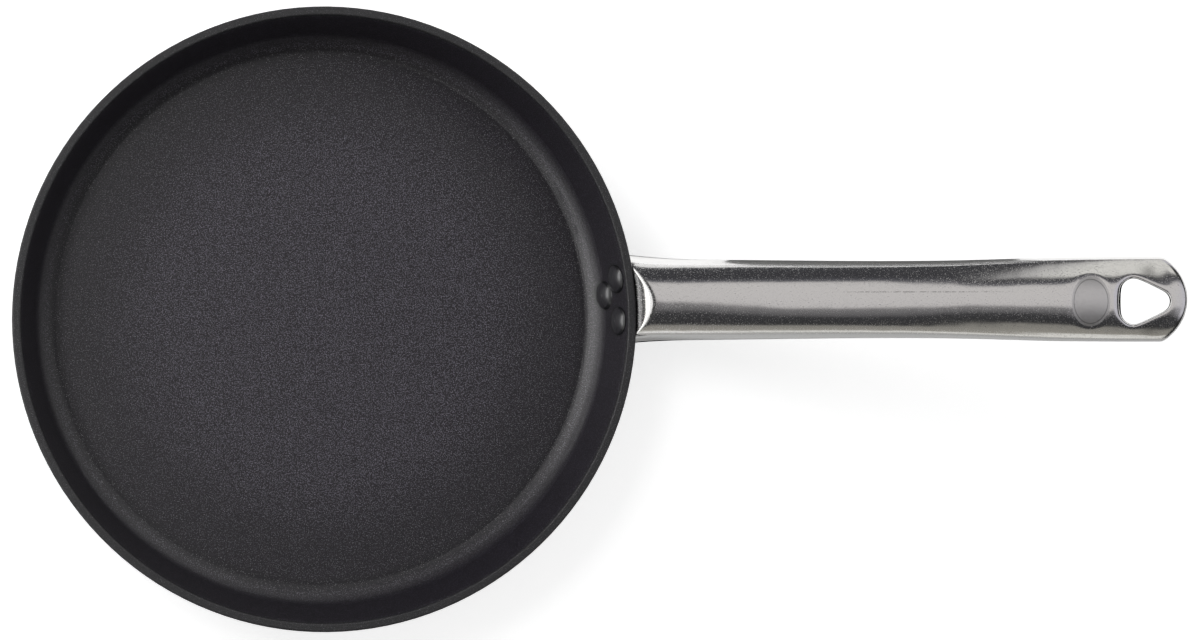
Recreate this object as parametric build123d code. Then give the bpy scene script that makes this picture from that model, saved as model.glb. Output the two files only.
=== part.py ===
from build123d import *
from math import asin, cos, degrees, hypot, radians, sin, tan
import os

# A crepe pan: a low pressed aluminium pan with a non-stick coat on its inside and lip, and a hollow
# handle of rolled stainless sheet that three solid rivets hold to the wall. Sizes are in millimetres
# and angles in degrees. The origin is the centre of the base, on the surface that the pan stands on.
# +X points along the handle and +Z is up. Left and right are as seen by the cook who holds the handle.

# Pan, pressed from one blank
rim_radius = 120.0
pan_height = 25.0
floor_thickness = 3.0
wall_thickness = 3.0
wall_angle = 69.0
inner_bend_radius = 6.0
lip_edge_radius = 0.6
floor_step = 0.45
floor_step_width = 2.3
floor_step_bend_radius = 5.0
gutter_width = 0.5
base_ring_radius = 84.0
base_ring_width = 2.4
base_ring_depth = 0.3

# Non-stick coat
coat_thickness = 0.1

# Rivets: a depth is measured from the lip down the inner wall, a shift from the handle's middle plane
rivet_shank_radius = 3.0
rivet_head_radius = 5.5
rivet_head_height = 2.1
rivet_head_edge = 0.5
rivet_tail_radius = 4.2
rivet_tail_height = 1.8
rivet_tail_edge_radius = 0.8
upper_rivet_depth = 7.4
upper_rivet_shift = 8.15
lower_rivet_depth = 16.9
lower_rivet_shift = 1.8
lower_rivet_tilt = 7.0

# Handle, rolled from one sheet: its middle line is an arc that rises from the wall and levels out,
# and its root drop is how far below the lip that line starts
sheet_thickness = 1.5
handle_offset = 7.55
handle_root_drop = 5.6
handle_reach = 196.3
handle_root_slope = 30.0
handle_tip_slope = 17.0
grip_width = 31.4
grip_crown = 7.5
grip_belly = 7.5
grip_side_radius = 5.1
seam_gap = 2.4
mouth_length = 31.0
mouth_clearance = 1.0
mouth_shoulder_radius = 8.0
mouth_end_radius = 3.5

# Handle root: the sheet turns down behind the lip and lies on the wall as a flange
shoulder_slope = 45.0
shoulder_rise = 1.4
shoulder_bend_radius = 6.0
flange_margin = 2.0

# Handle tip, with a bare oval pad and the hanging hole, a triangle with its corners rounded. Both lie
# a little to the left of the handle's middle plane, by the tip shift.
tip_radius = 18.2
tip_shift = 0.8
hole_distance = 25.0
hole_length = 24.0
hole_width = 23.5
hole_back_radius = 4.9
hole_front_radius = 4.3
pad_length = 14.6
pad_width = 20.2
pad_depth = 0.4
pad_distance = 36.4

# One overrun for every cut and trim
overrun = 14.0

# The handle's sections: where each lies as a share of the reach, then its width, its heights above
# and below the middle line and its side radius, each as a share of the grip's
section_shares = [
    (-0.080, 1.330, 1.00, 1.00, 1.00),
    (-0.020, 1.150, 1.00, 1.00, 1.00),
    (0.045, 1.008, 1.00, 1.00, 1.00),
    (0.120, 0.988, 1.02, 1.02, 1.00),
    (0.200, 0.978, 1.03, 1.03, 1.00),
    (0.320, 0.952, 1.02, 1.02, 1.00),
    (0.440, 0.934, 0.98, 0.98, 1.00),
    (0.560, 0.932, 0.93, 0.88, 0.92),
    (0.660, 0.965, 0.88, 0.74, 0.76),
    (0.760, 1.008, 0.81, 0.55, 0.57),
    (0.880, 1.017, 0.74, 0.40, 0.43),
    (1.060, 1.017, 0.70, 0.34, 0.37),
]

# Sizes that follow from those above
wall_run = 1 / tan(radians(wall_angle))
lip_radius = rim_radius - wall_thickness / sin(radians(wall_angle))
inner_corner_radius = lip_radius - (pan_height - floor_thickness) * wall_run
outer_corner_radius = rim_radius - pan_height * wall_run
outer_bend_radius = inner_bend_radius + wall_thickness
handle_root_height = pan_height - handle_root_drop
arc_radius = handle_reach / (sin(radians(handle_root_slope)) - sin(radians(handle_tip_slope)))


def turned(edges):
    """The solid that a closed outline in radius and height makes round the pan's axis."""
    return revolve(Plane.XZ * make_face(edges), Axis.Z)


def inner_line():
    """The pan's inner face and lip, from the middle of the floor to the edge of the outer wall."""
    lip_wrap = lip_edge_radius * tan(radians(90 - wall_angle / 2)) + coat_thickness
    step_foot_radius = inner_corner_radius - inner_bend_radius * tan(radians(wall_angle / 2)) - gutter_width
    corners = [
        (0, floor_thickness + floor_step),
        (step_foot_radius - floor_step_width, floor_thickness + floor_step),
        (step_foot_radius, floor_thickness),
        (inner_corner_radius, floor_thickness),
        (lip_radius, pan_height),
        (rim_radius, pan_height),
        (rim_radius - lip_wrap * cos(radians(wall_angle)), pan_height - lip_wrap * sin(radians(wall_angle))),
    ]
    bends = [floor_step_bend_radius, floor_step_bend_radius, inner_bend_radius, lip_edge_radius, lip_edge_radius]
    return FilletPolyline(corners, radius=bends)


def shoulder_line():
    """The pan's underside and outer wall, drawn on past the lip along the handle's shoulder."""
    shoulder_radius = rim_radius + shoulder_rise * wall_run
    shoulder_height = pan_height + shoulder_rise
    end_radius = shoulder_radius + grip_width * cos(radians(shoulder_slope))
    end_height = shoulder_height + grip_width * sin(radians(shoulder_slope))
    corners = [(0, 0), (outer_corner_radius, 0), (shoulder_radius, shoulder_height), (end_radius, end_height)]
    return FilletPolyline(corners, radius=[outer_bend_radius, shoulder_bend_radius])


def make_inside():
    """All that lies inside the pan's outer wall and the handle's shoulder, as a full turn."""
    shoulder = shoulder_line()
    top = (0, (shoulder @ 1).Y)
    return turned([*shoulder.edges(), *Polyline(shoulder @ 1, top, (0, 0)).edges()])


def base_ring():
    """The shallow ring pressed into the underside, which keeps the base from bowing as it heats."""
    outline = Circle(base_ring_radius) - Circle(base_ring_radius - base_ring_width)
    return extrude(outline, amount=base_ring_depth)


def make_pan_blank():
    """The pan before its rivet holes are drilled."""
    inner = inner_line()
    outer = FilletPolyline([(0, 0), (outer_corner_radius, 0), inner @ 1], radius=[outer_bend_radius])
    blank = turned([*inner.edges(), *outer.edges(), Line(outer @ 0, inner @ 0)])
    return blank - base_ring()


def make_coat_blank():
    """The coat before its rivet holes are drilled: a skin on the inner face and lip, flush outside."""
    skin = Wire(inner_line().edges()).offset_2d(coat_thickness, side=Side.LEFT, closed=True)
    return turned(skin.edges()) - make_sheet_blank()


def make_sheet_blank():
    """The handle's sheet where it lies on the pan's wall and shoulder, as a full turn."""
    sheet = Wire(shoulder_line().edges()).offset_2d(sheet_thickness, side=Side.RIGHT, closed=True)
    return turned(sheet.edges())


def rivet_spot(depth, shift, tilt):
    """Where a rivet's axis enters the inner wall, with Z into the pan, tilted up from square."""
    radius = lip_radius - depth * cos(radians(wall_angle))
    height = pan_height - depth * sin(radians(wall_angle))
    facing = radians(90 - wall_angle + tilt)
    seat = Plane(origin=(radius, 0, height), x_dir=(0, 1, 0), z_dir=(-cos(facing), 0, sin(facing)))
    return Rot(0, 0, degrees(asin((handle_offset + shift) / radius))) * seat.location


rivet_spots = {
    "rivet_upper_left": rivet_spot(upper_rivet_depth, -upper_rivet_shift, 0),
    "rivet_upper_right": rivet_spot(upper_rivet_depth, upper_rivet_shift, 0),
    "rivet_lower": rivet_spot(lower_rivet_depth, lower_rivet_shift, lower_rivet_tilt),
}
rivet_grip = (wall_thickness + sheet_thickness) / cos(radians(lower_rivet_tilt))


def barrel(radius, bottom, top):
    """A cylinder on a rivet's axis between two heights."""
    return Pos(0, 0, bottom) * Cylinder(radius, top - bottom, align=(Align.CENTER, Align.CENTER, Align.MIN))


def make_shank():
    """The shank, from inside the head to inside the tail. It fills its holes."""
    return barrel(rivet_shank_radius, -rivet_grip - rivet_tail_height / 2, rivet_head_edge)


def make_head():
    """The low domed head, with enough below it to be cut to the wall that it sits on."""
    below = -wall_thickness / 2
    dome = TangentArc((0, rivet_head_height), (rivet_head_radius, rivet_head_edge), tangent=(1, 0))
    sides = Polyline(dome @ 1, (rivet_head_radius, below), (0, below), dome @ 0)
    return turned([dome, *sides.edges()])


def make_tail():
    """The pressed tail, with enough above it to be cut to the flange that it holds."""
    bottom = -rivet_grip - rivet_tail_height
    tail = barrel(rivet_tail_radius, bottom, sheet_thickness / 2 - rivet_grip)
    return fillet(tail.edges().sort_by(Axis.Z)[0], rivet_tail_edge_radius)


def make_rivet(spot, inside, pan_blank, coat_blank, sheet_blank):
    """One rivet in its place, its head seated on the coat and its tail on the flange."""
    head = (spot * make_head() & inside) - pan_blank - coat_blank
    tail = spot * make_tail() - sheet_blank - pan_blank
    return spot * make_shank() + head + tail


def middle_point(share):
    """The place along X, height and slope of the handle's middle line at a share of its reach."""
    run = share * handle_reach
    slope = asin(sin(radians(handle_root_slope)) - run / arc_radius)
    height = handle_root_height + arc_radius * (cos(slope) - cos(radians(handle_root_slope)))
    return rim_radius + run, height, slope


def bow(side_centre, side_radius, height):
    """Where a shallow arc of a given height meets the tight arc beside it."""
    rise = height - side_radius
    drop = (side_centre**2 - rise**2) / (2 * rise)
    reach = side_radius / hypot(side_centre, drop)
    return side_centre * (1 + reach), drop * reach


def section(share, width, crown, belly, side_radius):
    """A section across the handle: a crown and a belly, joined at each side by a tight arc."""
    x, z, slope = middle_point(share)
    side_centre = width / 2 - side_radius
    top_x, top_y = bow(side_centre, side_radius, crown)
    low_x, low_y = bow(side_centre, side_radius, belly)
    outline = [
        ThreePointArc((-top_x, top_y), (0, crown), (top_x, top_y)),
        ThreePointArc((top_x, top_y), (width / 2, 0), (low_x, -low_y)),
        ThreePointArc((low_x, -low_y), (0, -belly), (-low_x, -low_y)),
        ThreePointArc((-low_x, -low_y), (-width / 2, 0), (-top_x, top_y)),
    ]
    across = Plane(origin=(x, handle_offset, z), x_dir=(0, 1, 0), z_dir=(cos(slope), 0, sin(slope)))
    return across * make_face(outline)


def handle_form(inset):
    """The handle's rounded form, drawn in by an inset all round."""
    sections = []
    for share, width_share, crown_share, belly_share, side_share in section_shares:
        width = width_share * grip_width - 2 * inset
        crown = crown_share * grip_crown - inset
        belly = belly_share * grip_belly - inset
        sections.append(section(share, width, crown, belly, side_share * grip_side_radius - inset))
    return loft(sections)


def from_tip(outline, both=True):
    """An outline drawn on the handle's middle plane at its tip, X outwards, made a prism square to it."""
    x, z, slope = middle_point(1)
    tip = Plane(origin=(x, handle_offset, z), x_dir=(cos(slope), 0, sin(slope)), z_dir=(-sin(slope), 0, cos(slope)))
    return extrude(tip * outline, amount=overrun, both=both)


def tip_offcut(inset):
    """What is cut away to leave the rounded tip, drawn in by an inset."""
    beyond = Pos(-tip_radius, 0) * Rectangle(2 * tip_radius, 2 * grip_width, align=(Align.MIN, Align.CENTER))
    return from_tip(beyond - Pos(-tip_radius, 0) * Circle(tip_radius - inset))


def hanging_hole(outset):
    """The hanging hole, let out by an outset: a rounded triangle that points to the tip."""
    corners = [(-hole_distance, -hole_width / 2), (hole_length - hole_distance, 0), (-hole_distance, hole_width / 2)]
    bends = [hole_back_radius, hole_front_radius, hole_back_radius]
    triangle = make_face(FilletPolyline(corners, radius=bends, close=True))
    return from_tip(Pos(0, -tip_shift) * offset(triangle, amount=outset))


def pad_recess(grip):
    """The bare oval pad, pressed into the crown and following its curve."""
    oval = from_tip(Pos(-pad_distance, -tip_shift) * Ellipse(pad_length / 2, pad_width / 2), both=False)
    return (oval & grip) - handle_form(pad_depth)


def under_middle(start_share, end_share, half_width):
    """All that lies under the handle's middle line between two shares of its reach."""
    places = [middle_point(start_share), middle_point((start_share + end_share) / 2), middle_point(end_share)]
    start, halfway, end = [(x, z) for x, z, slope in places]
    middle = ThreePointArc(start, halfway, end)
    below = Polyline(end, (end[0], -overrun), (start[0], -overrun), start)
    upright = Plane(origin=(0, handle_offset, 0), x_dir=(1, 0, 0), z_dir=(0, -1, 0))
    return extrude(upright * make_face([middle, *below.edges()]), amount=half_width, both=True)


def mouth():
    """The opening under the root that leaves room for the rivet tails, narrowing to the seam."""
    half_width = upper_rivet_shift + rivet_tail_radius + mouth_clearance
    root = rim_radius - overrun
    wide_end = rim_radius + rivet_tail_radius
    corners = [
        (root, handle_offset - half_width),
        (wide_end, handle_offset - half_width),
        (rim_radius + mouth_length, handle_offset),
        (wide_end, handle_offset + half_width),
        (root, handle_offset + half_width),
    ]
    bends = [0, mouth_shoulder_radius, mouth_end_radius, mouth_shoulder_radius, 0]
    plan = extrude(make_face(FilletPolyline(corners, radius=bends, close=True)), amount=rim_radius)
    return plan & under_middle(section_shares[0][0], (mouth_length + overrun) / handle_reach, grip_width)


def seam():
    """The gap between the sheet's two edges, from the mouth to just short of the hanging hole."""
    end_share = 1 - (hole_distance + 2 * sheet_thickness) / handle_reach
    return under_middle(section_shares[0][0], end_share, seam_gap / 2)


def flange_tab():
    """The outline round the three rivets that the flange keeps below the handle."""
    tails = [(spot * Pos(0, 0, -rivet_grip)).position for spot in rivet_spots.values()]
    centres = make_face(Polyline([(tail.Y, tail.Z) for tail in tails], close=True))
    outline = offset(centres, amount=rivet_tail_radius + flange_margin)
    return extrude(Plane.YZ * outline, amount=rim_radius + overrun)


def make_handle(inside, sheet_blank, shanks):
    """The handle: a hollow tube with a seam underneath, closed at the root by its flange."""
    grip = handle_form(0) - tip_offcut(0)
    hollow = handle_form(sheet_thickness) - tip_offcut(sheet_thickness) - hanging_hole(sheet_thickness)
    tube = grip - hollow - inside - mouth() - seam() - hanging_hole(0) - pad_recess(grip)
    flange = sheet_blank & (grip + flange_tab())
    return tube + flange - shanks


def write(name, shape):
    """Write one piece to its own file."""
    export_step(shape, f"parts/{name}.step")


os.makedirs("parts", exist_ok=True)
inside = make_inside()
pan_blank = make_pan_blank()
coat_blank = make_coat_blank()
sheet_blank = make_sheet_blank()
shanks = [spot * make_shank() for spot in rivet_spots.values()]
write("pan_body", pan_blank - shanks)
write("nonstick_coating", coat_blank - shanks)
write("handle", make_handle(inside, sheet_blank, shanks))
for name, spot in rivet_spots.items():
    write(name, make_rivet(spot, inside, pan_blank, coat_blank, sheet_blank))
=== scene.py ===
from math import acos, atan2, cos, hypot, pi, radians, sin, sqrt, tan

import bmesh
import bpy
from mathutils import Matrix, Vector


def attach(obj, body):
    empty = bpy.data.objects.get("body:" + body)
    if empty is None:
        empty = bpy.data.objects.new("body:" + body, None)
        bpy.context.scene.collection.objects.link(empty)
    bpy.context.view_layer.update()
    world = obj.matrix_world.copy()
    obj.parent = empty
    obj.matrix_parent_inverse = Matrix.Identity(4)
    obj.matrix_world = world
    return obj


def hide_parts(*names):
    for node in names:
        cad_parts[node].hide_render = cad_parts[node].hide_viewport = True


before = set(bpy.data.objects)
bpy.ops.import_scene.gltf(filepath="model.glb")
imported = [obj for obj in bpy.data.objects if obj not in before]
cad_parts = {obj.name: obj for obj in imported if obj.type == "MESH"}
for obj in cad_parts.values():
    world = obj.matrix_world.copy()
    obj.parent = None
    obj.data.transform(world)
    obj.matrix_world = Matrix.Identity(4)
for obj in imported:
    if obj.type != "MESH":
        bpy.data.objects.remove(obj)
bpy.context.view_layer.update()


# Camera: a long lens high over the pan, set a little towards the far side from the handle, so that
# the wall by the handle shows more than the wall across from it.
camera_place = Vector((-0.1534, 0.0, 1.5926))
camera_target = Vector((0.10549, -0.00027, 0.025))
camera_lens = 123.19
camera_sensor = 36
camera_reach = 40

camera_data = bpy.data.cameras.new("camera")
camera_data.lens = camera_lens
camera_data.sensor_width = camera_sensor
camera_data.clip_end = camera_reach
camera = bpy.data.objects.new("camera", camera_data)
bpy.context.scene.collection.objects.link(camera)
bpy.context.scene.camera = camera
camera.location = camera_place
camera_look = (camera_target - camera_place).normalized()
camera_right = camera_look.cross(Vector((0, 1, 0))).normalized()
camera_up = camera_right.cross(camera_look)
camera.rotation_euler = Matrix((camera_right, camera_up, -camera_look)).transposed().to_euler()
bpy.context.scene.view_settings.view_transform = "Standard"


# Pan body: one disc of aluminium, pressed to a low round pan and left bare outside. Its outside is
# turned on a lathe, which leaves fine rings on the wall and underneath.
rim_radius = 0.120
pan_height = 0.025
wall_slope = radians(69)
wall_run = 1 / tan(wall_slope)
handle_offset = 0.00755
turned_grey = (0.60, 0.60, 0.61, 1)
turned_shade = (0.54, 0.54, 0.549, 1)
turned_cloud_scale = 40.0
turned_roughness = 0.34
turned_roughness_spread = 0.12
turned_ring_scale = 900
turned_ring_depth = 0.00002


class Value:
    """A shader value, which takes part in sums: each operator adds its Math node."""

    def __init__(self, finish, socket):
        self.finish = finish
        self.socket = socket

    def math(self, operation, *others):
        return self.finish.node("ShaderNodeMath", {"operation": operation}, dict(enumerate((self, *others))))

    def __add__(self, other):
        return self.math("ADD", other)

    def __radd__(self, other):
        return self.math("ADD", other)

    def __sub__(self, other):
        return self.math("SUBTRACT", other)

    def __rsub__(self, other):
        return self.finish.node("ShaderNodeMath", {"operation": "SUBTRACT"}, {0: other, 1: self})

    def __mul__(self, other):
        return self.math("MULTIPLY", other)

    def __rmul__(self, other):
        return self.math("MULTIPLY", other)

    def __truediv__(self, other):
        return self.math("DIVIDE", other)

    def __pow__(self, other):
        return self.math("POWER", other)

    def rise(self, low, high):
        """0 below the low value and 1 above the high one, with a smooth rise between them."""
        settings = {"interpolation_type": "SMOOTHSTEP"}
        return self.finish.node("ShaderNodeMapRange", settings, {0: self, 1: low, 2: high})

    def distance(self, place):
        """How far this place is from another."""
        settings = {"operation": "DISTANCE"}
        return self.finish.node("ShaderNodeVectorMath", settings, {0: self, 1: place}, "Value")


class Finish:
    """The finish of a material or of the studio's walls, whose nodes are all made by one method."""

    def __init__(self, owner, shader="Principled BSDF"):
        self.owner = owner
        self.owner.use_nodes = True
        self.tree = owner.node_tree
        self.shader = self.tree.nodes[shader]
        self.place = self.node("ShaderNodeTexCoord", {}, {}, "Object")

    def node(self, kind, settings, sockets, output=0):
        """Make a node of a type from its settings and its sockets' values, by their names or numbers."""
        node = self.tree.nodes.new(kind)
        for name, setting in settings.items():
            if name == "stops":
                self.set_stops(node.color_ramp, setting)
            else:
                setattr(node, name, setting)
        for socket, value in sockets.items():
            self.fill(node.inputs[socket], value)
        return Value(self, node.outputs[output])

    def set_stops(self, ramp, stops):
        """Give a ramp its stops, each a position and a colour."""
        while len(ramp.elements) < len(stops):
            ramp.elements.new(1.0)
        for element, (position, colour) in zip(ramp.elements, stops):
            element.position = position
            element.color = colour

    def fill(self, socket, value):
        """Link a shader value to a socket, or set the socket to a plain number or colour."""
        if isinstance(value, Value):
            self.tree.links.new(value.socket, socket)
        else:
            socket.default_value = value

    def surface(self, **named):
        """Give the shader its values, by the names of its sockets with _ for each space."""
        for name, value in named.items():
            self.fill(self.shader.inputs[name.replace("_", " ")], value)

    def axes(self):
        """The place on the piece along X, Y and Z."""
        return [self.node("ShaderNodeSeparateXYZ", {}, {0: self.place}, axis) for axis in "XYZ"]

    def ray(self, kind):
        """1 for a ray of a kind, such as Camera, and 0 for any other."""
        return self.node("ShaderNodeLightPath", {}, {}, f"Is {kind} Ray")

    def noise(self, scale, detail=2.0, place=None):
        """A smooth noise of about 0 to 1 with a number of grains to the metre."""
        sockets = {"Vector": place or self.place, "Scale": scale, "Detail": detail}
        return self.node("ShaderNodeTexNoise", {}, sockets)

    def blend(self, share, first, second):
        """A colour between two others."""
        return self.node("ShaderNodeMix", {"data_type": "RGBA"}, {0: share, 6: first, 7: second}, 2)

    def bumps(self, height, depth):
        """A surface normal bumped by a height times a depth in metres."""
        return self.node("ShaderNodeBump", {}, {"Height": height, "Distance": depth})

    def on(self, *pieces):
        """Put this finish on each piece, in place of what it wore."""
        for piece in pieces:
            piece.data.materials.clear()
            piece.data.materials.append(self.owner)


turned = Finish(bpy.data.materials.new("turned aluminium"))
across, back, up = turned.axes()
from_middle = (across * across + back * back) ** 0.5
ring_place = turned.node("ShaderNodeCombineXYZ", {}, {"X": from_middle, "Z": up})
rings = turned.noise(turned_ring_scale, 4.0, ring_place)
turned.surface(
    Base_Color=turned.blend(turned.noise(turned_cloud_scale, 3.0), turned_grey, turned_shade),
    Metallic=1.0,
    Roughness=turned_roughness + turned_roughness_spread * (rings - 0.5),
    Normal=turned.bumps(rings, turned_ring_depth),
)
turned.on(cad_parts["pan_body"])


# Non-stick coating: a dark grey skin sprayed on the inside and over the lip, with a speckle of
# lighter grains. Painted shade thins the speckle on the steep wall and the lip, darkens the floor towards
# the wall and in the crease, draws the lip's colour towards dark and puts a dark ring round each rivet
# head; painted light brightens a ring just past the crease. It rounds off the bend at the foot of the
# wall, so its finish bumps it over a wider ring there.
coat_dark = (0.0075, 0.0060, 0.0092, 1)
coat_light = (0.162, 0.146, 0.190, 1)
coat_fleck = (0.30, 0.29, 0.31, 1)
# The dark of the painted shade round each rivet head and on the lip
painted_shade_dark = (0.004, 0.004, 0.005, 1)
coat_roughness = 0.38
coat_roughness_grain = 0.1
coat_roughness_lip = 0.16
coat_specular = 0.3
# Grains to the metre, and the share of the noise at which a grain starts and is full
coat_grain_scale = 2300
coat_fine_scale = 2.2 * coat_grain_scale
coat_grain_band = (0.49, 0.63)
coat_fine_band = (0.40, 0.60)
coat_fine_least = 0.4
coat_fine_most = 1.2
fleck_band = (0.40, 0.46)
lip_fleck_band = (0.62, 0.74)
lip_fleck_share = 0.25
# How much less there is on the wall and on the lip. Less speckle on the wall and the lip, and the lip's
# colour drawn towards the dark, are painted shade.
wall_painted_shade = 0.75
lip_speckle_painted_shade = 0.8
lip_fleck_loss = 0.4
lip_painted_shade = 0.7
# Where the wall starts out from the middle, and where it ends and the lip starts above the base
wall_foot = (0.1030, 0.1085)
wall_top = (0.0225, 0.0245)
lip_foot = (0.0230, 0.0245)
# Painted shade and light, as the speckle's share changing outwards: by how much, and from where to where.
# The first two steps darken the floor towards the wall and in the crease, the last lightens a ring past it.
painted_shade_and_light_steps = ((-0.72, 0.052, 0.094), (-0.24, 0.0985, 0.1030), (0.70, 0.1045, 0.1070))
# How the bend's height changes outwards, and then up the wall, in millimetres
bend_steps = ((0.45, 0.1007, 0.1042), (0.90, 0.1026, 0.1066))
wall_bend_fall = 1.2
wall_bend = (0.0036, 0.0095)
coat_grain_height = 0.10
coat_bump_depth = 0.001
# Each rivet's depth below the lip and its shift from the handle's middle plane
rivet_rows = ((0.0074, -0.00815), (0.0074, 0.00815), (0.0169, 0.0018))
rivet_inset = 0.0033
# Painted shade: the coat darkens in a ring round each rivet head, between these distances from its place
rivet_painted_shade_ring = (0.0053, 0.0066)
rivet_places = []
for depth, shift in rivet_rows:
    wall_at = rim_radius - rivet_inset - depth * wall_run
    rivet_y = handle_offset + shift
    rivet_places.append(Vector((sqrt(wall_at ** 2 - rivet_y ** 2), rivet_y, pan_height - depth)))


def away_from_rivets(finish, near, far):
    """0 nearer than one distance to any rivet's place, and 1 beyond another."""
    share = 1.0
    for place in rivet_places:
        share = finish.place.distance(place).rise(near, far) * share
    return share


coat = Finish(bpy.data.materials.new("speckled non-stick coat"))
across, back, up = coat.axes()
from_middle = (across * across + back * back) ** 0.5
on_wall = from_middle.rise(*wall_foot) * (1 - up.rise(*wall_top))
on_lip = up.rise(*lip_foot)
grain = coat.noise(coat_grain_scale)
fine_grain = coat.noise(coat_fine_scale, 0.0)
speckle = grain.rise(*coat_grain_band) * (coat_fine_least + coat_fine_most * fine_grain.rise(*coat_fine_band))
# Painted shade on the floor towards the wall and in the crease, and painted light on a ring just past the
# crease
speckle = speckle * (1 + sum(amount * from_middle.rise(start, end) for amount, start, end in painted_shade_and_light_steps))
# Painted shade: the speckle thins on the wall and the lip
speckle = speckle * (1 - wall_painted_shade * on_wall) * (1 - lip_speckle_painted_shade * on_lip)
lip_fleck = fine_grain.rise(*lip_fleck_band) * on_lip * lip_fleck_share
fleck = (grain * fine_grain).rise(*fleck_band).math("MAXIMUM", lip_fleck)
fleck = fleck * (1 - on_wall) * (1 - lip_fleck_loss * on_lip)
coat_colour = coat.blend(speckle, coat_dark, coat_light)
# Painted shade: a dark ring round each rivet head, and the lip drawn towards the dark
unshaded_share = away_from_rivets(coat, *rivet_painted_shade_ring) * (1 - lip_painted_shade * on_lip)
coat_colour = coat.blend(unshaded_share, painted_shade_dark, coat_colour)
bend = sum(amount * from_middle.rise(start, end) for amount, start, end in bend_steps)
bend = bend - wall_bend_fall * up.rise(*wall_bend)
coat.surface(
    Base_Color=coat.blend(fleck, coat_colour, coat_fleck),
    Roughness=coat_roughness + coat_roughness_lip * on_lip + coat_roughness_grain * grain,
    Specular_IOR_Level=coat_specular,
    Normal=coat.bumps(coat_grain_height * grain + bend, coat_bump_depth),
)
coat.on(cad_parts["nonstick_coating"])


# Handle: one sheet of polished stainless steel, rolled to a hollow grip with its seam underneath. At
# the root it turns down behind the lip, to the flange that the rivets hold. Its tip is closed, and
# the hanging hole through it has a rounded rim.
# The face that the flange lies on: the bend above the base, the wall, and two slopes of the shoulder
corner_height = 0.0058
corner_radius = 0.009
corner_reach = sqrt(corner_radius ** 2 - (corner_radius - corner_height) ** 2)
shoulder_slope = radians(53)
shoulder_run = 1 / tan(shoulder_slope)
shoulder_height = 0.0292
upper_shoulder_slope = radians(44)
upper_shoulder_run = 1 / tan(upper_shoulder_slope)
sheet_clearance = 0.00005
# The handle's middle line is an arc, which starts at the rim's radius and levels out
handle_root_height = 0.0194
handle_reach = 0.1963
root_slope = radians(30)
tip_slope = radians(17)
arc_radius = handle_reach / (sin(root_slope) - sin(tip_slope))
handle_length = arc_radius * (root_slope - tip_slope)
sheet_thickness = 0.0015
half_width = 0.0157
crown_height = 0.0075
belly_depth = 0.0075
# How far along the handle, then the width, crown and belly there, all as shares of the grip's
form_shares = (
    (-0.080, 1.330, 1.090, 1.00),
    (-0.020, 1.110, 1.090, 1.00),
    (0.000, 1.030, 1.090, 1.00),
    (0.024, 1.000, 1.090, 1.00),
    (0.045, 0.998, 1.055, 1.00),
    (0.120, 0.988, 1.020, 1.02),
    (0.200, 0.978, 1.030, 1.03),
    (0.320, 0.952, 1.020, 1.02),
    (0.440, 0.934, 0.980, 0.98),
    (0.560, 0.932, 0.930, 0.88),
    (0.660, 0.965, 0.880, 0.74),
    (0.760, 1.008, 0.810, 0.55),
    (0.880, 1.017, 0.740, 0.40),
    (1.060, 1.017, 0.700, 0.34),
)
# The seam and the wide mouth that tapers to it, along the underside
seam_half_gap = 0.0012
seam_end = 0.185
mouth_half_width = 0.01335
mouth_start = 0.012
mouth_end = 0.031
# The hanging hole, on one side of its own middle: X is less than 0 before the tip
hole_distance = 0.025
hole_front_distance = 0.0065
hole_gaps = 4
hole_corner_x = -0.0201
hole_corner_y = 0.00389
hole_corner_radius = 0.0049
hole_corner_angles = (180, 151, 122, 93, 64)
hole_side = (-0.0134, 0.00608)
hole_front_x = -0.01077
hole_front_radius = 0.0043
hole_front_angles = (64, 38, 13)
hole_bevel = 0.0012
# The round tip, with the hole and the pad a little to the left of the handle's middle
tip_shift = 0.0008
tip_radius = 0.0182
before_tip = 0.0032
tip_bevel = 0.0007
bevel_segments = 2
# The bend where the top turns down, and the search for where each column meets the wall
root_bend = 0.0010
root_bend_fall = root_bend * sin(radians(45))
search_reach = 0.03
halvings = 30
# The handle is shaped as a coarse cage that is then smoothed, which shrinks it, so the cage is larger
# by its share. Its columns are numbered round the grip: 0 to 11 over the top, 12 to 23 underneath.
columns = 24
column_angle = 2 * pi / columns
cage_share = 3 / (2 + cos(column_angle))
top_middle = 5.5
seam_middle = 17.5
first_flange_column = 2
last_flange_column = 9
mouth_columns = (13.2, 21.8)
hole_half_columns = 2.8
tip_half_columns = 5.2
same_column = 0.2
same_place = 1e-6


def form_at(along):
    """The half width, crown height and belly depth of the handle's skin at a distance along it."""
    share = along / handle_length
    for near, far in zip(form_shares, form_shares[1:]):
        if share <= far[0]:
            break
    part = (share - near[0]) / (far[0] - near[0])
    width, crown, belly = (a + (b - a) * part for a, b in zip(near[1:], far[1:]))
    return width * half_width, crown * crown_height, belly * belly_depth


def on_arc(along, across, height):
    """Where a place on the straight handle lies once its middle line is bent to its arc."""
    slope = root_slope - along / arc_radius
    x = rim_radius + arc_radius * (sin(root_slope) - sin(slope)) - height * sin(slope)
    z = handle_root_height + arc_radius * (cos(slope) - cos(root_slope)) + height * cos(slope)
    return Vector((x, handle_offset + across, z))


def seam_at(along):
    """Half the width of the opening underneath: the mouth, its taper, and then the seam."""
    taper = (mouth_end - along) / (mouth_end - mouth_start)
    return seam_half_gap + (mouth_half_width - seam_half_gap) * min(1, max(0, taper))


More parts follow.
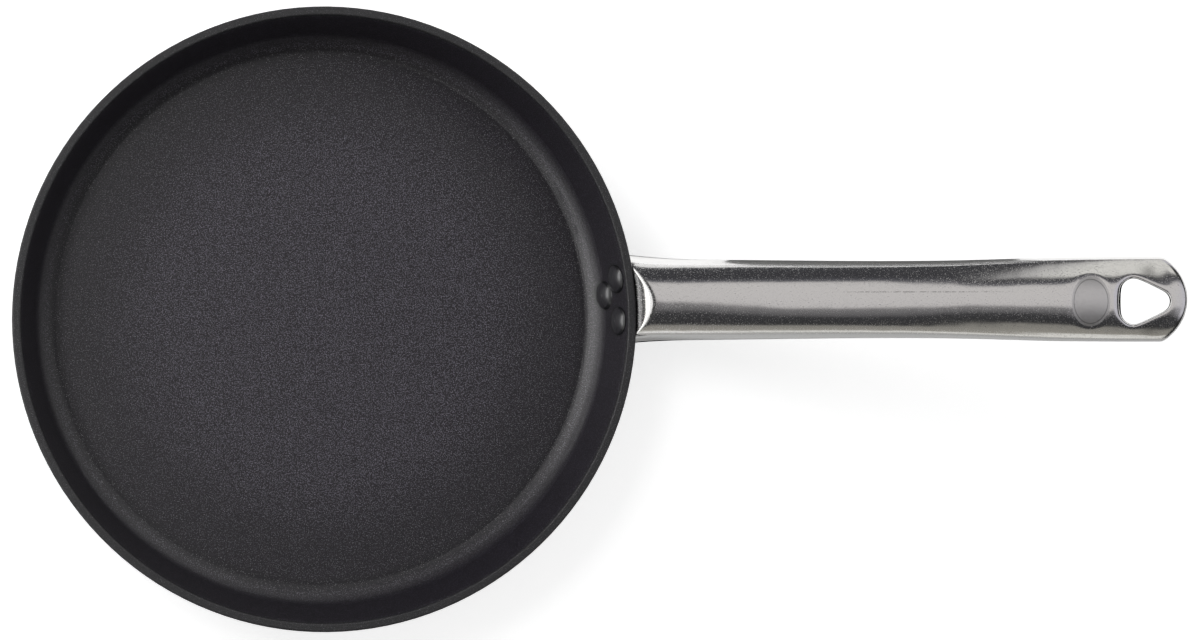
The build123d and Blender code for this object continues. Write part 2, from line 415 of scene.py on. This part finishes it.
def column_place(along, column):
    """The place of one of the cage's columns at a distance along the bent handle."""
    width, crown, belly = (cage_share * size for size in form_at(along))
    angle = (column + 0.5) * column_angle
    if angle > pi and along < seam_end:
        left = angle < 1.5 * pi
        edge = acos(min(1, seam_at(along) / width))
        spread = (edge - column_angle / 2) / (pi / 2 - column_angle)
        from_side = angle - pi if left else 2 * pi - angle
        from_side = column_angle / 2 + (from_side - column_angle / 2) * spread
        angle = pi + from_side if left else 2 * pi - from_side
    height = crown if angle < pi else belly
    return on_arc(along, width * cos(angle), height * sin(angle))


def skin_place(along, across, upper):
    """The place on the bent handle's skin at a distance along it and across it."""
    width, crown, belly = (cage_share * size for size in form_at(along))
    rise = sqrt(max(0, 1 - (across / width) ** 2))
    return on_arc(along, across, rise * crown if upper else -rise * belly)


def wall_radius(height):
    """The radius of the face that the flange lies on: the pan's outer wall and the shoulder."""
    if height > shoulder_height:
        return wall_radius(shoulder_height) + (height - shoulder_height) * upper_shoulder_run
    if height > pan_height:
        return rim_radius + (height - pan_height) * shoulder_run
    if height > corner_height:
        return rim_radius - (pan_height - height) * wall_run
    corner = sqrt(corner_radius ** 2 - (corner_radius - height) ** 2)
    return rim_radius - (pan_height - corner_height) * wall_run - corner_reach + corner


def wall_place(across, height):
    """The place on that face at a distance across the handle and a height."""
    y = handle_offset + across
    return Vector((sqrt((wall_radius(height) + sheet_clearance) ** 2 - y * y), y, height))


def meeting(column):
    """How far along the handle a column of the cage comes out of the pan's wall, found by halving."""
    low, high = -search_reach, search_reach
    for _ in range(halvings):
        middle = (low + high) / 2
        place = column_place(middle, column)
        if hypot(place.x, place.y) < wall_radius(place.z):
            low = middle
        else:
            high = middle
    return high


def pick(kind, wanted):
    """Select only the wanted vertices, edges or faces of the mesh that is being edited."""
    bpy.ops.mesh.select_mode(type={"verts": "VERT", "edges": "EDGE", "faces": "FACE"}[kind])
    bpy.ops.mesh.select_all(action="DESELECT")
    edited = bmesh.from_edit_mesh(bpy.context.edit_object.data)
    for element in getattr(edited, kind):
        if wanted(element):
            element.select_set(True)
    bmesh.update_edit_mesh(bpy.context.edit_object.data)


def middle_of(element):
    """The middle of an edge or a face."""
    return sum((vertex.co for vertex in element.verts), Vector()) / len(element.verts)


def column_of(place):
    """The column of the straight cage that a place on it is in, or between."""
    return (atan2(place.z, place.y) / column_angle - 0.5) % columns


def from_ridge(element):
    """How many columns an edge or a face is from the middle of the top or of the underside."""
    return abs(column_of(middle_of(element)) % (columns / 2) - top_middle)


def all_at(element, along):
    """Whether all of an edge lies at a distance along the straight cage."""
    return all(abs(vertex.co.x - along) < same_place for vertex in element.verts)


# The cage starts as a straight round tube, drawn out row by row
hole_start = handle_length - hole_distance
hole_length = hole_distance - hole_front_distance
hole_rows = [hole_start + index * hole_length / hole_gaps for index in range(hole_gaps + 1)]
rows = [0.0182, mouth_end, 0.0500, 0.0745, 0.0990, 0.1230, 0.1450, 0.1640, 0.1780, seam_end]
rows += hole_rows + [handle_length - before_tip, handle_length]
bpy.ops.object.select_all(action="DESELECT")
bpy.ops.mesh.primitive_circle_add(vertices=columns, radius=half_width, location=(0, 0, 0))
handle = bpy.context.object
handle.name = "handle_sheet"
bpy.ops.object.mode_set(mode="EDIT")
bpy.ops.mesh.select_all(action="SELECT")
bpy.ops.transform.rotate(value=pi / 2, orient_axis="Y", center_override=(0, 0, 0))
bpy.ops.transform.rotate(value=column_angle / 2, orient_axis="X", center_override=(0, 0, 0))
bpy.ops.transform.translate(value=(rows[0], 0, 0))
for row, next_row in zip(rows, rows[1:]):
    bpy.ops.mesh.extrude_region_move()
    bpy.ops.transform.translate(value=(next_row - row, 0, 0))

# The seam and the hole are cut out of it
pick("faces", lambda face: middle_of(face).x < seam_end
     and abs(column_of(middle_of(face)) - seam_middle) < same_column)
bpy.ops.mesh.delete(type="FACE")
pick("faces", lambda face: hole_rows[0] < middle_of(face).x < hole_rows[-1]
     and from_ridge(face) < hole_half_columns)
bpy.ops.mesh.delete(type="FACE")

# The sides run on to the pan's wall, and the top turns down behind the lip into the flange
root_step = 0.003
root_rows = 6
neck_length = 0.0042
row_gap = 0.0008
shoulder_rows = (shoulder_height, 0.0268, 0.0245)
# The flange's rows below the lip: the height, the half width and how far its middle is to one side
flange_rows = (
    (0.0200, 0.0142, 0.0000),
    (0.0150, 0.0136, 0.0000),
    (0.0100, 0.0100, 0.00065),
    (0.0050, 0.0065, 0.00145),
    (0.0018, 0.0035, 0.00145),
)
pick("edges", lambda edge: all_at(edge, rows[0])
     and not mouth_columns[0] < column_of(middle_of(edge)) < mouth_columns[1])
for row in range(root_rows + len(flange_rows)):
    bpy.ops.mesh.extrude_region_move()
    bpy.ops.transform.translate(value=(-root_step, 0, 0))
    if row == 1:
        pick("edges", lambda edge: all_at(edge, rows[0] - 2 * root_step)
             and first_flange_column < column_of(middle_of(edge)) < last_flange_column)

# A triangle fills the corner between the flange and each side
for edge_column, side_column in ((first_flange_column, -1), (last_flange_column, 1)):
    corners = ((2, edge_column + side_column), (2, edge_column), (3, edge_column))
    pick("verts", lambda vertex: any(
        abs(vertex.co.x - rows[0] + step * root_step) < same_place
        and abs(column_of(vertex.co) - column) < same_column
        for step, column in corners
    ))
    bpy.ops.mesh.edge_face_add()

# The tip is closed by a wall between its upper and its lower edge
pick("edges", lambda edge: all_at(edge, handle_length) and from_ridge(edge) < tip_half_columns)
bpy.ops.mesh.bridge_edge_loops()
bpy.ops.mesh.select_all(action="SELECT")
bpy.ops.mesh.normals_make_consistent(inside=False)
bpy.ops.object.mode_set(mode="OBJECT")

# The hole's outline, on one side of its middle, from its back corner to its front: places before the
# tip, and the row and column of the cage that goes to each
hole_outline = [
    (hole_corner_x + hole_corner_radius * cos(angle), hole_corner_y + hole_corner_radius * sin(angle))
    for angle in map(radians, hole_corner_angles)
]
hole_outline += [hole_side]
hole_outline += [
    (hole_front_x + hole_front_radius * cos(angle), hole_front_radius * sin(angle))
    for angle in map(radians, hole_front_angles)
]
hole_order = [(0, 5), (0, 4), (0, 3), (1, 3), (2, 3), (3, 3), (4, 3), (4, 4), (4, 5)]
# How much of the tip's roundness each of the last rows takes
tip_shares = dict(zip(rows[-6:], (0.05, 0.25, 0.55, 0.85, 0.95, 1.0)))
hole_loops = set()
tip_loop = set()


def key_of(place):
    """A place rounded to a micrometre, to find its vertex again by."""
    return tuple(round(part, 6) for part in place)


def root_place(step, column):
    """The place of a point of the cage between its first full row and the flange's lower end."""
    on_top = first_flange_column <= column <= last_flange_column
    corner = column_place(meeting(column), column)
    if step == 1:
        return column_place(meeting(column) + neck_length, column)
    if step == 2:
        return column_place(meeting(column) + root_bend, column) if on_top else corner
    if step <= root_rows:
        inner = first_flange_column < column < last_flange_column
        height = corner.z - (root_bend_fall if inner else 0)
        for row_height in shoulder_rows[:step - 3]:
            height = min(row_height, height - row_gap)
        return wall_place(corner.y - handle_offset, height)
    height, half, middle = flange_rows[step - root_rows - 1]
    from_first = (column - first_flange_column) / (last_flange_column - first_flange_column)
    return wall_place(middle + half * (1 - 2 * from_first), height)


# Each point of the straight cage goes to its place on the real form
for vertex in handle.data.vertices:
    along = vertex.co.x
    column = round(column_of(vertex.co)) % columns
    if along < rows[0] - same_place:
        vertex.co = root_place(round((rows[0] - along) / root_step), column)
        continue
    row = min(range(len(rows)), key=lambda index: abs(rows[index] - along))
    across = column_place(rows[row], column).y - handle_offset
    roundness = tip_radius - sqrt(tip_radius ** 2 - across ** 2)
    along = rows[row] - tip_shares.get(rows[row], 0) * roundness
    vertex.co = column_place(along, column)
    over = column if column < columns / 2 else columns - 1 - column
    side = 1 if over < top_middle else -1
    spot = (row - rows.index(hole_start), min(over, round(2 * top_middle) - over))
    if spot in hole_order:
        x, y = hole_outline[hole_order.index(spot)]
        vertex.co = skin_place(handle_length + x, side * y - tip_shift, column < columns / 2)
        hole_loops.add(key_of(vertex.co))
    if row == len(rows) - 1:
        tip_loop.add(key_of(vertex.co))

# The hole gets its wall, and its rims and the tip's edges are rounded, but not the upright edges,
# which are taller than any other
bpy.ops.object.mode_set(mode="EDIT")
pick("edges", lambda edge: edge.is_boundary and all(key_of(vertex.co) in hole_loops for vertex in edge.verts))
bpy.ops.mesh.bridge_edge_loops()
for loop, bevel, tallest in ((hole_loops, hole_bevel, 0.004), (tip_loop, tip_bevel, 0.002)):
    pick("edges", lambda edge: all(key_of(vertex.co) in loop for vertex in edge.verts)
         and abs(edge.verts[0].co.z - edge.verts[1].co.z) < tallest)
    bpy.ops.mesh.bevel(offset=bevel, segments=bevel_segments, affect="EDGES")
bpy.ops.mesh.select_all(action="SELECT")
bpy.ops.mesh.normals_make_consistent(inside=False)
bpy.ops.object.mode_set(mode="OBJECT")
smooth_levels = 3
smooth = handle.modifiers.new("smooth", "SUBSURF")
smooth.levels = smooth_levels
smooth.render_levels = smooth_levels
bpy.ops.object.modifier_apply(modifier="smooth")

# A shallow oval pad is pressed into its top before the hole. Shares are of the oval's half sizes.
pad_distance = 0.0377
pad_half_length = 0.0077
pad_half_width = 0.0100
pad_depth = 0.00015
pad_outer_share = 1.1
pad_edge_share = 0.2
pad_slope = root_slope - (handle_length - pad_distance) / arc_radius
pad_middle = on_arc(handle_length - pad_distance, -tip_shift, 0)
pad_run = pad_half_length * cos(pad_slope)
pressed = []
for vertex in handle.data.vertices:
    share = hypot((vertex.co.x - pad_middle.x) / pad_run, (vertex.co.y - pad_middle.y) / pad_half_width)
    if share < pad_outer_share and vertex.normal.z > 0.5:
        rise = min(1, max(0, (pad_outer_share - share) / pad_edge_share))
        pressed.append((vertex.index, vertex.co - vertex.normal * pad_depth * rise * rise * (3 - 2 * rise)))
for index, place in pressed:
    handle.data.vertices[index].co = place
sheet = handle.modifiers.new("sheet", "SOLIDIFY")
sheet.thickness = sheet_thickness
sheet.offset = -1
bpy.ops.object.modifier_apply(modifier="sheet")
bpy.ops.object.shade_smooth()

# The steel is polished, with fine dull specks and faint scratches along it, a rubbed line on its
# crown, and a frosted pad with a line round its edge
steel_grey = (0.83, 0.825, 0.815, 1)
steel_worn = (0.20, 0.20, 0.20, 1)
steel_roughness = 0.10
steel_grain_scale = 1600
steel_grain_height = 0.04
steel_wave_scale = 70
steel_bump_depth = 0.00012
speck_scale = 2400
speck_band = (0.50, 0.75)
speck_roughness = 0.26
scratch_slope = radians(23.5)
scratch_scale = (40, 1500, 1500)
scratch_band = (0.62, 0.75)
scratch_roughness = 0.05
# The pad's frosted edge and its line, as shares of the oval, and how far above the middle line
pad_edge_band = (0.93, 0.96)
pad_line_start = (0.80, 0.82)
pad_line_end = (0.84, 0.86)
pad_line_share = 0.6
pad_roughness = 0.20
above_middle = (0.002, 0.003)
# The rubbed line: its place across, its half width, and where it starts and ends
rubbed_y = 0.0104
rubbed_edge = (0.00008, 0.00030)
rubbed_start = (0.185, 0.205)
rubbed_end = (0.235, 0.256)
rubbed_scale = 1400
rubbed_band = (0.35, 0.60)
rubbed_share = 0.7

steel = Finish(bpy.data.materials.new("polished stainless steel"))
across, back, up = steel.axes()
scratch_sockets = {"Vector": steel.place, "Rotation": (0, -scratch_slope, 0), "Scale": scratch_scale}
lengthwise = steel.node("ShaderNodeMapping", {}, scratch_sockets)
scratches = steel.noise(1.0, 1.0, lengthwise).rise(*scratch_band)
specks = steel.noise(speck_scale).rise(*speck_band)
pad_x = (across - pad_middle.x) / pad_run
pad_y = (back - pad_middle.y) / pad_half_width
on_crown = (up - pad_middle.z - pad_x * pad_run * tan(pad_slope)).rise(*above_middle)
pad_share = (pad_x * pad_x + pad_y * pad_y) ** 0.5
frosted = (1 - pad_share.rise(*pad_edge_band)) * on_crown
pad_line = (pad_share.rise(*pad_line_start) * (1 - pad_share.rise(*pad_line_end))) * on_crown
rubbed = (1 - (back - rubbed_y).math("ABSOLUTE").rise(*rubbed_edge)) * on_crown
rubbed = rubbed * across.rise(*rubbed_start) * (1 - across.rise(*rubbed_end))
rubbed = rubbed * steel.noise(rubbed_scale, 1.0).rise(*rubbed_band)
dullness = speck_roughness * specks + pad_roughness * frosted + scratch_roughness * scratches
steel_height = steel.noise(steel_grain_scale) * steel_grain_height + steel.noise(steel_wave_scale, 1.0)
steel.surface(
    Base_Color=steel.blend(pad_line * pad_line_share + rubbed * rubbed_share, steel_grey, steel_worn),
    Metallic=1.0,
    Roughness=steel_roughness + dullness,
    Normal=steel.bumps(steel_height, steel_bump_depth),
)
steel.on(handle)
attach(handle, "root")
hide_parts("handle")


# Rivets: three solid aluminium rivets through the pan's wall and the handle's flange. Their low domed
# heads inside the pan have a dark satin coat, and their tails behind the flange are bare.
rivet_dark = (0.026, 0.025, 0.029, 1)
rivet_bare = (0.62, 0.62, 0.63, 1)
rivet_roughness = 0.20
rivet_grain_scale = 1500
rivet_grain_roughness = 0.08
rivet_grain_depth = 0.00001
# Painted shade: a dark ring round the rim of each head, between these distances from its place
rivet_painted_shade_edge = (0.0048, 0.0055)
# Past the middle of the pan's wall a rivet is bare
half_wall = 0.0015
bare_edge = (0.0, 0.0002)

rivet = Finish(bpy.data.materials.new("rivet"))
across, back, up = rivet.axes()
wall_middle = rim_radius - half_wall + (up - pan_height) * wall_run
bare = ((across * across + back * back) ** 0.5 - wall_middle).rise(*bare_edge)
rivet_grain = rivet.noise(rivet_grain_scale)
# Each head's rim takes the painted shade
head_colour = rivet.blend(away_from_rivets(rivet, *rivet_painted_shade_edge), rivet_dark, painted_shade_dark)
rivet.surface(
    Base_Color=rivet.blend(bare, head_colour, rivet_bare),
    Metallic=bare,
    Roughness=rivet_roughness + rivet_grain_roughness * rivet_grain,
    Normal=rivet.bumps(rivet_grain, rivet_grain_depth),
)
rivet.on(*(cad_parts[name] for name in ("rivet_upper_left", "rivet_upper_right", "rivet_lower")))


# Studio floor: a wide pale sheet, which the camera sees as plain white with the pan's soft shadow.
# Reflections see it glow under the pan and on the far side. Under the handle, and in a patch beside
# it, the glow is negative for them, to cancel the floor's own light, so the steel has dark bands.
floor_half_width = 6.0
floor_white = (0.9, 0.9, 0.9, 1)
floor_roughness = 0.9
floor_glow = 0.62
floor_gap = 0.0002
# Where the glow for reflections starts across the floor, and where it ends outwards under the pan
far_side = (-0.05, 0.05)
pan_edge = (0.090, 0.108)
# Where it is negative: from where along the handle, how far to its sides, and by how many times
floor_skew = 0.3
handle_start = (0.10, 0.14)
handle_side = (0.024, 0.034)
handle_darkness = 1.6
# The patch that is so many times wider: its start and end along the handle, and its side
patch_start = (0.172, 0.200)
patch_end = (0.262, 0.285)
patch_lean = 0.08
patch_side = (0.0, 0.02)
patch_spread = 60

bpy.ops.object.select_all(action="DESELECT")
bpy.ops.mesh.primitive_plane_add(size=2 * floor_half_width, location=(0, 0, -floor_gap))
floor = bpy.context.object
floor.name = "floor"
pale = Finish(bpy.data.materials.new("pale floor"))
across, back = pale.axes()[:2]
skewed = across + floor_skew * back.math("MAXIMUM", 0.0)
before_end = 1 - (across + patch_lean * back).rise(*patch_end)
patch = skewed.rise(*patch_start) * before_end * back.rise(*patch_side)
beside = (back - handle_offset).math("ABSOLUTE") / (1 + patch_spread * patch)
under_handle = skewed.rise(*handle_start) * (1 - beside.rise(*handle_side))
under_pan = 1 - ((across * across + back * back) ** 0.5).rise(*pan_edge)
reflected = back.rise(*far_side).math("MAXIMUM", under_pan) - handle_darkness * under_handle
seen = pale.ray("Camera").math("MAXIMUM", pale.ray("Transmission")) + pale.ray("Glossy") * reflected
pale.surface(
    Base_Color=floor_white,
    Roughness=floor_roughness,
    Specular_IOR_Level=0.0,
    Emission_Color=(1, 1, 1, 1),
    Emission_Strength=seen * floor_glow,
)
pale.on(floor)


# Studio walls: far off on every side, plain white where the camera or a reflection sees them. They
# give the pan an even soft light, weaker than their white looks.
sky_white = (1, 1, 1, 1)
sky_light = 0.36

world = bpy.data.worlds.new("studio")
bpy.context.scene.world = world
sky = Finish(world, "Background")
seen = sky.ray("Camera").math("MAXIMUM", sky.ray("Glossy")).math("MAXIMUM", sky.ray("Transmission"))
sky.surface(Color=sky_white, Strength=sky_light + (1 - sky_light) * seen)


# Studio ceiling: a wide sheet over the pan that only reflections see. Its long pale and dark strips
# give the polished steel its bands, and fan out towards the root, where the grip is steeper. Over the
# pan it is dark, with a soft pale round that lights the middle of the coat.
ceiling_height = 1.0
ceiling_start = -2.1
ceiling_end = 1.6
ceiling_half_width = 10.0
# Each strip's colour and where it stands across the handle, within a reach to either side
strip_reach = 6.0
strips = (
    (-6.00, (0.78, 0.77, 0.74)),
    (-3.30, (0.72, 0.71, 0.68)),
    (-3.00, (0.32, 0.305, 0.275)),
    (-1.45, (0.25, 0.24, 0.22)),
    (-1.25, (0.035, 0.035, 0.037)),
    (-0.66, (0.040, 0.040, 0.043)),
    (-0.58, (0.11, 0.107, 0.112)),
    (-0.34, (0.19, 0.185, 0.19)),
    (-0.31, (0.12, 0.115, 0.12)),
    (-0.25, (0.58, 0.56, 0.56)),
    (0.65, (0.60, 0.58, 0.575)),
    (0.72, (0.10, 0.10, 0.115)),
    (0.95, (0.045, 0.045, 0.05)),
    (6.00, (0.05, 0.05, 0.055)),
)
# The strips are narrower by a share to the right of this edge
fan_share = 0.54
fan_edge = (-0.5, -0.17)
# For the root the strips step aside: by how much, from how far to the left, and between which places
root_shift = 0.22
root_shift_edge = (0.6, 0.9)
root_shift_start = (-1.2, -0.5)
root_shift_end = (0.0, 0.5)
# Two pale patches for the tip: where each starts along and across, and its colour
tip_patches = (
    ((-0.26, -0.17), (0.50, 0.62), (0.50, 0.49, 0.49, 1)),
    ((-0.17, -0.09), (0.45, 0.55), (0.74, 0.73, 0.70, 1)),
)
# Over the pan: where its part starts, its pale round, and its light on the far side and the right
pan_side = (0.03, 0.12)
pan_round_x = 0.1
pan_round = (0.24, 0.42)
pan_far_light = 0.9
pan_far_edge = (1.0, 1.6)
pan_right_light = 0.35
pan_right_edge = (1.0, 1.4)
pan_dark = (0.025, 0.025, 0.025, 1)
pan_pale = (0.56, 0.55, 0.60, 1)
# The steepest bends show the ceiling's left end, straight across from them, which is dark
steep_edge = (1.15, 1.35)
steep_spread = (0.5, 0.7)
steep_dark = (0.05, 0.05, 0.05, 1)


def reflected_sheet(name, place, width, height, upright_about=None):
    """A flat sheet that only reflections see, stood up about an axis where one is given."""
    bpy.ops.object.select_all(action="DESELECT")
    bpy.ops.mesh.primitive_plane_add(size=1, location=place)
    sheet = bpy.context.object
    sheet.name = name
    bpy.ops.transform.resize(value=(width, height, 1))
    if upright_about:
        bpy.ops.transform.rotate(value=pi / 2, orient_axis=upright_about, center_override=place)
    bpy.ops.object.transform_apply(location=True, rotation=True, scale=True)
    sheet.visible_camera = False
    sheet.visible_diffuse = False
    sheet.visible_shadow = False
    sheet.visible_transmission = False
    return sheet


def glowing(finish, colour, strength=1.0):
    """Make a finish that glows and has no other light."""
    finish.surface(
        Base_Color=(0, 0, 0, 1),
        Specular_IOR_Level=0.0,
        Emission_Color=colour,
        Emission_Strength=strength,
    )


def strip_at(finish, place, strip_rows):
    """The colour at a place among strips, which blends from each to the next."""
    stops = [((start + strip_reach) / (2 * strip_reach), (*colour, 1)) for start, colour in strip_rows]
    share = (place + strip_reach) / (2 * strip_reach)
    return finish.node("ShaderNodeValToRGB", {"stops": stops}, {0: share})


ceiling_middle = ((ceiling_start + ceiling_end) / 2, 0, ceiling_height)
ceiling = reflected_sheet("ceiling", ceiling_middle, ceiling_end - ceiling_start, 2 * ceiling_half_width)
striped = Finish(bpy.data.materials.new("striped ceiling"))
across, back = striped.axes()[:2]
leftward = -1 * across
strip_place = back / (1 - fan_share * across.rise(*fan_edge))
shifted = strip_place.rise(*root_shift_start) * (1 - strip_place.rise(*root_shift_end))
shifted = root_shift * leftward.rise(*root_shift_edge) * shifted
ceiling_colour = strip_at(striped, strip_place - shifted, strips)
for patch_x, patch_y, patch_colour in tip_patches:
    ceiling_colour = striped.blend(across.rise(*patch_x) * back.rise(*patch_y), ceiling_colour, patch_colour)
from_round = ((across - pan_round_x) * (across - pan_round_x) + back * back) ** 0.5
pan_light = (1 - from_round.rise(*pan_round)) + pan_far_light * back.rise(*pan_far_edge)
pan_light = pan_light + pan_right_light * across.rise(*pan_right_edge)
pan_colour = striped.blend(pan_light, pan_dark, pan_pale)
ceiling_colour = striped.blend(across.rise(*pan_side), ceiling_colour, pan_colour)
steep = leftward.rise(*steep_edge) * (1 - (back.math("ABSOLUTE") / leftward).rise(*steep_spread))
glowing(striped, striped.blend(steep, ceiling_colour, steep_dark))
striped.on(ceiling)


# Studio near wall: a low grey sheet along the near side, under the ceiling's edge, that only
# reflections see. It keeps the coat's near side and the handle's lower edge from shining.
wall_grey = (0.42, 0.415, 0.405, 1)
wall_distance = 5.9
wall_width = 18.0

near_place = (0, -wall_distance, ceiling_height / 2)
near_wall = reflected_sheet("near_wall", near_place, wall_width, ceiling_height, "X")
grey_wall = Finish(bpy.data.materials.new("grey wall"))
glowing(grey_wall, wall_grey)
grey_wall.on(near_wall)


# Studio far wall: a low sheet along the far side that only reflections see. It is white where the
# root's upper edge shows it, dark with a light top line for the grip, and pale grey for the tip.
far_strips = (
    (-6.00, (1.0, 1.0, 1.0)),
    (-1.95, (1.0, 1.0, 1.0)),
    (-1.50, (0.05, 0.05, 0.055)),
    (-0.20, (0.05, 0.05, 0.055)),
    (-0.05, (0.55, 0.54, 0.53)),
    (6.00, (0.55, 0.54, 0.53)),
)
line_foot = (0.50, 0.60)
line_end = (-0.85, -0.55)
line_white = (0.9, 0.9, 0.9, 1)

far_place = (0, wall_distance, ceiling_height / 2)
far_wall = reflected_sheet("far_wall", far_place, wall_width, ceiling_height, "X")
banded = Finish(bpy.data.materials.new("banded wall"))
across, _, up = banded.axes()
light_line = up.rise(*line_foot) * (1 - across.rise(*line_end))
glowing(banded, banded.blend(light_line, strip_at(banded, across, far_strips), line_white))
banded.on(far_wall)


# Studio left wall: a low bright sheet that stands across from the handle, which only reflections
# see. It gives the bend at the handle's root its white.
left_white = (1.0, 0.99, 0.97, 1)
left_glow = 1.7
left_place = (-5.5, 0, 0.7)
left_height = 1.4
left_width = 5.0

left_wall = reflected_sheet("left_wall", left_place, left_height, left_width, "Y")
white_wall = Finish(bpy.data.materials.new("white wall"))
glowing(white_wall, left_white, left_glow)
white_wall.on(left_wall)


# Studio lamps: a large soft box in the far left corner lights all and shows in nothing. A low strip
# on the left, a small lamp over the coat and a long one past the rim on the far right light only the
# coat and the rivets, and give them their soft highlights. The last two give highlights alone.
def soft_lamp(name, place, width, height, power):
    """An area lamp at a place that faces the pan."""
    lamp_data = bpy.data.lights.new(name, "AREA")
    lamp_data.shape = "RECTANGLE"
    lamp_data.size = width
    lamp_data.size_y = height
    lamp_data.energy = power
    lamp = bpy.data.objects.new(name, lamp_data)
    bpy.context.scene.collection.objects.link(lamp)
    lamp.location = place
    lamp.rotation_euler = (-Vector(place)).to_track_quat("-Z", "Y").to_euler()
    lamp.visible_camera = False
    return lamp


soft_box = soft_lamp("soft_box", (-1.2, 1.0, 1.3), 1.2, 1.2, 17)
soft_box.visible_glossy = False
low_strip = soft_lamp("low_strip", (-1.6, 0.1, 0.32), 1.0, 0.30, 6)
coat_lamp = soft_lamp("coat_lamp", (-1.0, 0.0, 1.25), 0.35, 0.35, 33)
coat_lamp.visible_diffuse = False
rim_lamp = soft_lamp("rim_lamp", (0.90, 1.05, 1.15), 2.2, 0.4, 37)
rim_lamp.visible_diffuse = False
coated = bpy.data.collections.new("coated")
for name in ("nonstick_coating", "rivet_upper_left", "rivet_upper_right", "rivet_lower"):
    coated.objects.link(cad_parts[name])
for lamp in (low_strip, coat_lamp, rim_lamp):
    lamp.light_linking.receiver_collection = coated
